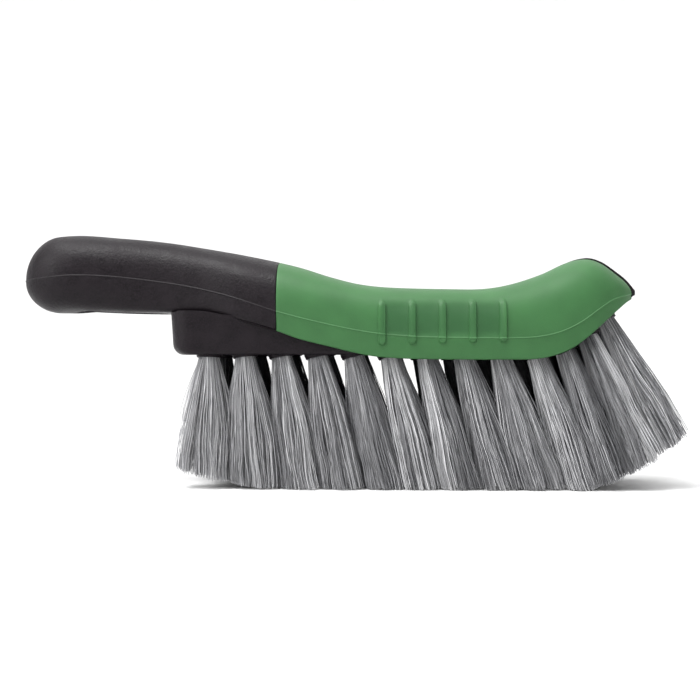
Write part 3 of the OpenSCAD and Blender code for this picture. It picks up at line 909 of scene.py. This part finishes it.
def filament_paths(rng, row, i, count):
    """Centre lines of one tuft's filaments, their tones from 0 to 1, and two side vectors."""
    root, axis = tuft_place(row, i)
    a, b = (np.array(v) for v in side_vectors(axis))
    axis, root = np.array(axis), np.array(root)
    disc = disc_points(count)
    centres = disc_points(CLUMPS) + rng.normal(0, 0.1, (CLUMPS, 2))
    clump = np.argmin(np.linalg.norm(disc[:, None] - centres[None], axis=2), axis=1)
    start = disc * (HOLE_R - 1.5 * FILAMENT_R)
    start = start[:, :1] * a + start[:, 1:] * b
    mouth = root + axis * boss_rise(row, i)
    ends = tip_offsets(rng, disc, clump, centres)
    tip = np.array(tip_middle(row, i))
    end_x = tip[0] + flared(row, i, ends[:, 0])
    end_y = tip[1] + ends[:, 1] * tip_half_y(row, i)
    end = np.column_stack([end_x, end_y, trim_z(end_x) + FILAMENT_R + ragged(rng, ends)])
    slow_phase = rng.uniform(0, 2 * math.pi, (CLUMPS, 2))[clump] + rng.normal(0, 0.5, (count, 2))
    slow_size = rng.uniform(0.2, 0.6, (CLUMPS, 2))[clump] + rng.uniform(0.0, 0.25, (count, 2))
    slow_turns = rng.uniform(0.7, 1.6, CLUMPS)[clump][:, None]
    crimp_phase = rng.uniform(0, 2 * math.pi, (CLUMPS, 2))[clump] + rng.normal(0, 0.7, (count, 2))
    crimp_size = rng.uniform(0.05, 0.16, (count, 2))
    crimp_turns = rng.uniform(3.0, 4.6, CLUMPS)[clump][:, None]
    paths = [root - axis * START_DEPTH + start]
    spread = (end - tip) - start
    for u in np.linspace(0, 1, PATH_STEPS):
        open_up = 1 - (1 - u) ** SPREAD_POWER
        spot = mouth + start + (end - mouth - start) * u
        spot = spot + (open_up - u) * spread * [1, 1, 0]
        sway = wave(u, slow_size, slow_turns, slow_phase)
        sway = sway + wave(u, crimp_size, crimp_turns, crimp_phase)
        spot = spot + sway[:, :1] * a + sway[:, 1:] * b
        spot[:, 2] = np.maximum(spot[:, 2], end[:, 2])
        paths.append(spot)
    tone = 0.5 + rng.normal(0, CLUMP_TONE, CLUMPS)[clump] + rng.normal(0, FILAMENT_TONE, count)
    # Painted light and shade: each outer tuft's tone is lifted or lowered for how the light falls on it
    if row != 0:
        tone += OUTER_PAINTED_LIGHT[i]
    return np.stack(paths, axis=1), np.clip(tone, 0, 1), (a, b)


def tube_mesh(name, paths, tone, sides):
    """One mesh of thin closed tubes along the paths."""
    count, steps, _ = paths.shape
    turns = 2 * math.pi * (np.arange(FILAMENT_SIDES) + 0.5) / FILAMENT_SIDES
    around = np.cos(turns)[:, None] * sides[0] + np.sin(turns)[:, None] * sides[1]
    radius = np.full(steps, FILAMENT_R)
    radius[-1] *= TIP_TAPER
    verts = paths[:, :, None, :] + around[None, None] * radius[None, :, None, None]
    base = (np.arange(count) * steps * FILAMENT_SIDES)[:, None, None]
    ring = (np.arange(steps - 1) * FILAMENT_SIDES)[None, :, None]
    j = np.arange(FILAMENT_SIDES)[None, None, :]
    k = (j + 1) % FILAMENT_SIDES
    low = base + ring
    high = low + FILAMENT_SIDES
    quads = np.stack([low + j, high + j, high + k, low + k], axis=-1).reshape(-1, 4)
    first = base[:, 0] + np.arange(FILAMENT_SIDES)[None]
    last = first + (steps - 1) * FILAMENT_SIDES
    corners = np.concatenate([quads.ravel(), first.ravel(), last[:, ::-1].ravel()])
    sizes = np.concatenate([np.full(len(quads), 4), np.full(2 * count, FILAMENT_SIDES)])
    mesh = bpy.data.meshes.new(name)
    mesh.vertices.add(verts.size // 3)
    mesh.vertices.foreach_set("co", (verts * MM).astype(np.float32).ravel())
    mesh.loops.add(len(corners))
    mesh.loops.foreach_set("vertex_index", corners.astype(np.int32))
    mesh.polygons.add(len(sizes))
    mesh.polygons.foreach_set("loop_start", (np.cumsum(sizes) - sizes).astype(np.int32))
    mesh.update(calc_edges=True)
    layer = mesh.attributes.new("tone", "FLOAT", "POINT")
    layer.data.foreach_set("value", np.repeat(tone, steps * FILAMENT_SIDES).astype(np.float32))
    mesh.validate()
    return mesh


def tuft(row, i, name):
    rng = np.random.default_rng(1000 * (row + 2) + i)
    count = MIDDLE_FILAMENTS if row == 0 else OUTER_FILAMENTS
    paths, tone, sides = filament_paths(rng, row, i, count)
    piece = bpy.data.objects.new(name, tube_mesh(name, paths, tone, sides))
    bpy.context.scene.collection.objects.link(piece)
    shade(piece, 60)
    return piece


# Materials

class Paint:
    """A node material with a Principled shader and short helpers for its textures."""

    def __init__(self, name, roughness, specular=0.5):
        self.material = bpy.data.materials.new(name)
        self.material.use_nodes = True
        self.tree = self.material.node_tree
        self.shader = self.tree.nodes["Principled BSDF"]
        self.shader.inputs["Roughness"].default_value = roughness
        self.shader.inputs["Specular IOR Level"].default_value = specular
        self.place = self.tree.nodes.new("ShaderNodeTexCoord").outputs["Object"]

    def link(self, a, b):
        self.tree.links.new(a, b)

    def noise(self, scale, detail=3.0, stretch=(1, 1, 1), distortion=0.0):
        spread = self.tree.nodes.new("ShaderNodeMapping")
        spread.inputs["Scale"].default_value = stretch
        self.link(self.place, spread.inputs["Vector"])
        texture = self.tree.nodes.new("ShaderNodeTexNoise")
        texture.inputs["Scale"].default_value = scale
        texture.inputs["Detail"].default_value = detail
        texture.inputs["Distortion"].default_value = distortion
        self.link(spread.outputs["Vector"], texture.inputs["Vector"])
        return texture.outputs["Fac"]

    def attribute(self, name):
        node = self.tree.nodes.new("ShaderNodeAttribute")
        node.attribute_name = name
        return node.outputs["Fac"]

    def ramp(self, value, stops):
        node = self.tree.nodes.new("ShaderNodeValToRGB")
        points = node.color_ramp.elements
        while len(points) < len(stops):
            points.new(0.5)
        for point, (at, colour) in zip(points, stops):
            point.position = at
            point.color = (*colour, 1)
        self.link(value, node.inputs["Fac"])
        return node.outputs["Color"]

    def span(self, value, low, high, to_low=0.0, to_high=1.0):
        node = self.tree.nodes.new("ShaderNodeMapRange")
        ends = {"From Min": low, "From Max": high, "To Min": to_low, "To Max": to_high}
        for label, number in ends.items():
            node.inputs[label].default_value = number
        self.link(value, node.inputs["Value"])
        return node.outputs["Result"]

    def blend(self, share, a, b, kind="MIX"):
        node = self.tree.nodes.new("ShaderNodeMix")
        node.data_type = "RGBA"
        node.blend_type = kind
        fac, first, second = node.inputs[0], node.inputs[6], node.inputs[7]
        for socket, value in ((fac, share), (first, a), (second, b)):
            if isinstance(value, (int, float)):
                socket.default_value = value
            elif isinstance(value, tuple):
                socket.default_value = (*value, 1)
            else:
                self.link(value, socket)
        return node.outputs[2]

    def math(self, kind, a, b):
        node = self.tree.nodes.new("ShaderNodeMath")
        node.operation = kind
        for socket, value in zip(node.inputs, (a, b)):
            if isinstance(value, (int, float)):
                socket.default_value = value
            else:
                self.link(value, socket)
        return node.outputs[0]

    def bump(self, height, strength, distance):
        node = self.tree.nodes.new("ShaderNodeBump")
        node.inputs["Strength"].default_value = strength
        node.inputs["Distance"].default_value = distance
        self.link(height, node.inputs["Height"])
        self.link(node.outputs["Normal"], self.shader.inputs["Normal"])

    def colour(self, value):
        self.link(value, self.shader.inputs["Base Color"])

    def roughness(self, value):
        self.link(value, self.shader.inputs["Roughness"])


def core_plastic():
    paint = Paint("moulded_black", 0.45, 0.12)
    grain = paint.noise(1500, 4)
    cloud = paint.noise(140, 5)
    base = paint.ramp(grain, [(0.3, (0.001, 0.0007, 0.001)), (0.7, (0.0095, 0.0068, 0.009))])
    worn = paint.blend(paint.span(cloud, 0.35, 0.75), base, (0.0078, 0.0056, 0.0073))
    # Painted highlight: the crest of the parting line is painted lighter
    ridge = paint.span(paint.attribute("ridge"), 0.3, 1.0, 0.0, 0.1)
    paint.colour(paint.blend(ridge, worn, (0.06, 0.056, 0.06)))
    paint.roughness(paint.span(paint.math("ADD", grain, cloud), 0.7, 1.3, 0.32, 0.54))
    paint.bump(paint.math("ADD", grain, paint.noise(700, 3)), 0.45, 0.0003)
    return paint.material


def grip_rubber():
    paint = Paint("soft_green_rubber", 0.55, 0.32)
    grain = paint.noise(2600, 3)
    cloud = paint.noise(90, 5)
    base = paint.ramp(cloud, [(0.3, (0.014, 0.070, 0.016)), (0.7, (0.021, 0.092, 0.023))])
    fine = paint.blend(paint.span(grain, 0.3, 0.7, 0.0, 0.35), base, (0.028, 0.110, 0.032))
    # Painted highlight: the crest of the parting line is painted lighter
    ridge = paint.span(paint.attribute("ridge"), 0.3, 1.0, 0.0, 0.16)
    # Painted shade: the hollows between the ribs are painted darker
    hollow_painted_shade = paint.span(paint.attribute("ridge"), -1.0, 0.0, 0.85, 0.0)
    shaded_hollow_colour = paint.blend(hollow_painted_shade, fine, (0.010, 0.058, 0.014))
    paint.colour(paint.blend(ridge, shaded_hollow_colour, (0.12, 0.31, 0.13)))
    paint.roughness(paint.span(grain, 0.3, 0.7, 0.48, 0.62))
    paint.bump(grain, 0.2, 0.00015)
    paint.shader.inputs["Sheen Weight"].default_value = 0.04
    paint.shader.inputs["Sheen Roughness"].default_value = 0.4
    return paint.material


# Dark, middle and light tone of each kind of filament
SILVER = ((0.025, 0.025, 0.028), (0.145, 0.145, 0.153), (0.54, 0.54, 0.55))
CHARCOAL = ((0.007, 0.007, 0.008), (0.022, 0.022, 0.024), (0.075, 0.075, 0.08))


def filament(name, dark, mid, light, roughness):
    paint = Paint(name, roughness, 0.6)
    tone = paint.attribute("tone")
    streak = paint.noise(420, 2, (1, 1, 0.12))
    own = paint.math("MULTIPLY", tone, 0.75)
    mixed = paint.math("ADD", own, paint.math("MULTIPLY", streak, 0.25))
    paint.colour(paint.ramp(mixed, [(0.15, dark), (0.5, mid), (0.85, light)]))
    paint.roughness(paint.span(streak, 0.3, 0.7, roughness - 0.06, roughness + 0.08))
    paint.bump(paint.noise(1500, 2, (1, 1, 0.2)), 0.15, 0.0001)
    return paint.material


def anchor_steel():
    paint = Paint("anchor_wire", 0.35)
    paint.shader.inputs["Metallic"].default_value = 1.0
    drawn = paint.noise(900, 4, (1, 1, 0.08))
    paint.colour(paint.ramp(drawn, [(0.3, (0.48, 0.47, 0.45)), (0.7, (0.66, 0.65, 0.62))]))
    paint.roughness(paint.span(drawn, 0.3, 0.7, 0.26, 0.45))
    paint.bump(drawn, 0.2, 0.00005)
    return paint.material


def pale_floor():
    paint = Paint("pale_paper", 0.85, 0.2)
    cloud = paint.noise(3, 2)
    paint.colour(paint.ramp(cloud, [(0.3, (0.62, 0.62, 0.62)), (0.7, (0.65, 0.65, 0.65))]))
    return paint.material


# Studio

CAMERA_PLACE = (0.0184, -0.5, 0.0545)
CAMERA_TARGET = (-0.0003, 0.0, 0.0566)
CAMERA_ANGLE = 33.1
SWEEP_START = 1.0
SWEEP_R = 0.8
WALL_TOP = 1.5
ROOM_STRENGTH = 2.1
LIGHT_TARGET = (0.0, 0.0, 0.06)


def aim(thing, place, target):
    thing.location = place
    thing.rotation_euler = (Vector(target) - Vector(place)).to_track_quat("-Z", "Y").to_euler()


def soft_light(name, place, size, watts):
    lamp = bpy.data.lights.new(name, "AREA")
    lamp.shape = "RECTANGLE"
    lamp.size, lamp.size_y = size
    lamp.energy = watts
    thing = bpy.data.objects.new(name, lamp)
    bpy.context.scene.collection.objects.link(thing)
    aim(thing, place, LIGHT_TARGET)


def backdrop():
    """Pale floor that sweeps up into a round wall, open at the top."""
    shell = Shell()
    profile = [(0.02, 0.0), (0.3, 0.0), (SWEEP_START, 0.0)]
    for t in np.linspace(0, math.pi / 2, 17)[1:]:
        profile.append((SWEEP_START + SWEEP_R * math.sin(t), SWEEP_R * (1 - math.cos(t))))
    profile.append((SWEEP_START + SWEEP_R, WALL_TOP))
    turns = np.linspace(0, 2 * math.pi, 97)[:-1]
    rows = []
    for r, z in profile:
        rows.append(shell.add_row([(r * math.cos(t) / MM, r * math.sin(t) / MM, z / MM) for t in turns]))
    for a, b in zip(rows, rows[1:]):
        shell.strip(a, b, closed=True)
    shell.fan(shell.add_row([(0.0, 0.0, 0.0)])[0], rows[0])
    floor = shell.build("floor", sharp=80)
    floor.data.materials.append(pale_floor())


def studio():
    lens = bpy.data.cameras.new("camera")
    lens.angle = math.radians(CAMERA_ANGLE)
    camera = bpy.data.objects.new("camera", lens)
    bpy.context.scene.collection.objects.link(camera)
    aim(camera, CAMERA_PLACE, CAMERA_TARGET)
    bpy.context.scene.camera = camera
    bpy.context.scene.view_settings.view_transform = "Standard"
    world = bpy.data.worlds.new("white_room")
    world.use_nodes = True
    world.node_tree.nodes["Background"].inputs["Color"].default_value = (1, 1, 1, 1)
    world.node_tree.nodes["Background"].inputs["Strength"].default_value = ROOM_STRENGTH
    bpy.context.scene.world = world
    soft_light("top_box", (-0.3, -0.3, 0.9), (0.5, 0.4), 12)
    soft_light("left_box", (-0.8, -0.45, 0.45), (0.35, 0.45), 5)
    backdrop()


def place(piece, material, slot, *nodes):
    piece.data.materials.clear()
    piece.data.materials.append(material)
    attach(piece, "root")
    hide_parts(*nodes)


def assemble():
    black = core_plastic()
    for piece in (core_body(), core_block(), nose_pad()):
        place(piece, black, "core_plastic", "brush_core")
    place(grip_sleeve(), grip_rubber(), "grip_rubber", "grip_sleeve")
    silver = filament("silver_filament", *SILVER, 0.36)
    charcoal = filament("charcoal_filament", *CHARCOAL, 0.4)
    for row, label in ((-1, "near"), (0, "middle"), (1, "far")):
        for i in range(tufts_in(row)):
            piece = tuft(row, i, f"filaments_{label}_{i + 1:02d}")
            slot = "bristle_charcoal" if row == 0 else "bristle_silver"
            place(piece, charcoal if row == 0 else silver, slot, f"tuft_{label}_{i + 1:02d}")
    steel = anchor_steel()
    for label in ("near", "middle", "far"):
        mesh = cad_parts[f"anchors_{label}"].data
        mesh.materials.clear()
        mesh.materials.append(steel)


studio()
assemble()
